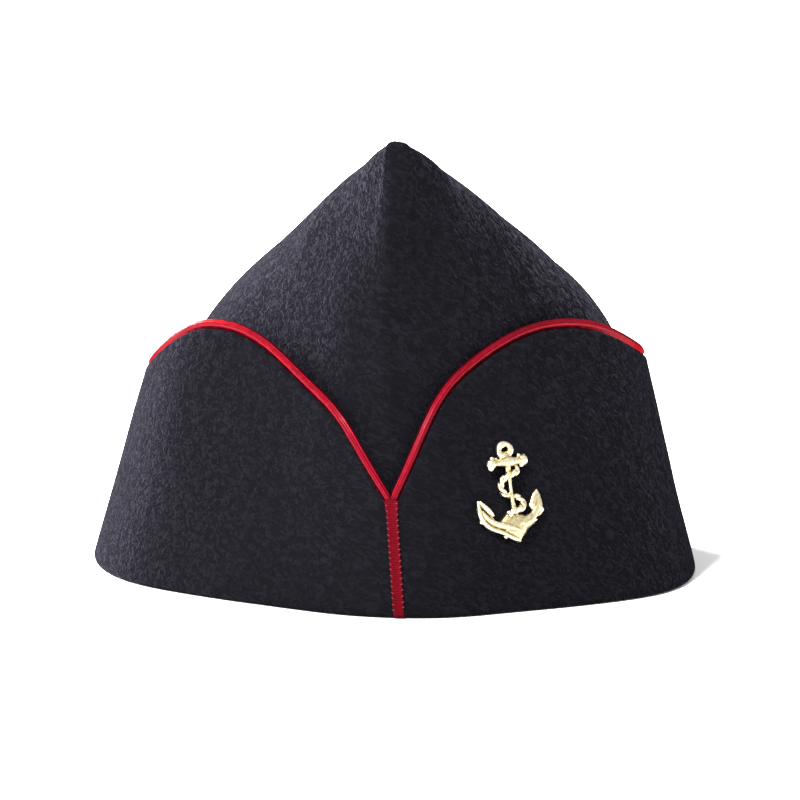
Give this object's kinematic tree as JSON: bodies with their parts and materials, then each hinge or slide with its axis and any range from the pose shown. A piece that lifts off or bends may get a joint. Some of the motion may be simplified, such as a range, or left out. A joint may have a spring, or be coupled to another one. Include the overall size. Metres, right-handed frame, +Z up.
{
  "type": "garrison cap",
  "caption": "Pointed garrison cap in midnight-blue wool felt, with turned-up flaps edged in red piping, a red tape on the front seam and a gilt fouled-anchor badge on the wearer's left.",
  "frame": {"origin": "middle of the cap's bounding box in plan, at the level of the rim, which is the surface that it stands on", "axes": "+Z up, +Y from the front seam towards the back seam, +X towards the wearer's left, where the badge is"},
  "size_m": [0.1752, 0.2096, 0.1286],
  "materials": {
    "crown_wool": "milled wool felt, midnight blue, matt with a short nap",
    "flap_wool": "milled wool felt, midnight blue, matt with a short nap, doubled",
    "red_cord": "satin-covered piping cord, red",
    "red_tape": "flat woven tape, deep red, matt, stitched along both edges",
    "gilt_metal": "struck and gilded, polished on its high parts and darker in its recesses",
    "steel_pin": "plain bright pin"
  },
  "bodies": {
    "root": {"crown_left": "crown_wool", "crown_right": "crown_wool", "flap_left": "flap_wool", "flap_right": "flap_wool", "piping_left": "red_cord", "piping_right": "red_cord", "piping_front": "red_tape", "badge_anchor": "gilt_metal", "badge_pin": "steel_pin"}
  },
  "joints": []
}
